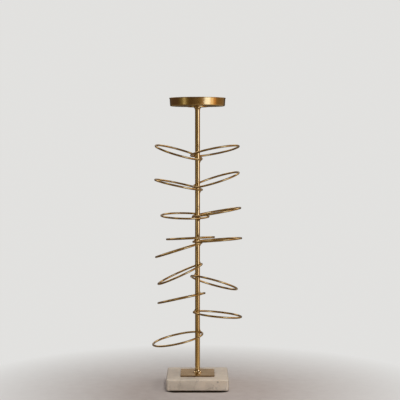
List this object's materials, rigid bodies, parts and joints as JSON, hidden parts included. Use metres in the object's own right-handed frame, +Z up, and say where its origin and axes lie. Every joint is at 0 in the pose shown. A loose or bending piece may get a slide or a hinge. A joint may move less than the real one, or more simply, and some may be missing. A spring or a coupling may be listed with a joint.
{
  "type": "candle holder",
  "caption": "Tall brass candle holder with a shallow dish on a slim stem, closed wire rings set round the stem in a spiral, and a square marble base.",
  "frame": {"origin": "on the stem's axis, in the plane that the four pads stand on", "axes": "+X to the right and +Y to the back as seen in the picture, +Z up along the stem"},
  "size_m": [0.1465, 0.127, 0.4695],
  "materials": {
    "brass": "antique satin, polished on the high spots",
    "marble": "honed, pale beige with fine grey veins",
    "pads": "matte black",
    "steel": "zinc plated"
  },
  "bodies": {
    "root": {"marble_base": "marble", "foot_pads": "pads", "base_plate": "brass", "foot_flare": "brass", "stem": "brass", "base_washer": "steel", "base_nut": "steel", "top_collar": "brass", "dish_disc": "brass", "dish": "brass", "dish_screw": "steel", "ring_01": "brass", "ring_02": "brass", "ring_03": "brass", "ring_04": "brass", "ring_05": "brass", "ring_06": "brass", "ring_07": "brass", "ring_08": "brass", "ring_09": "brass", "ring_10": "brass", "ring_11": "brass", "ring_12": "brass", "ring_13": "brass", "ring_14": "brass", "braze_beads": "brass"}
  },
  "joints": []
}
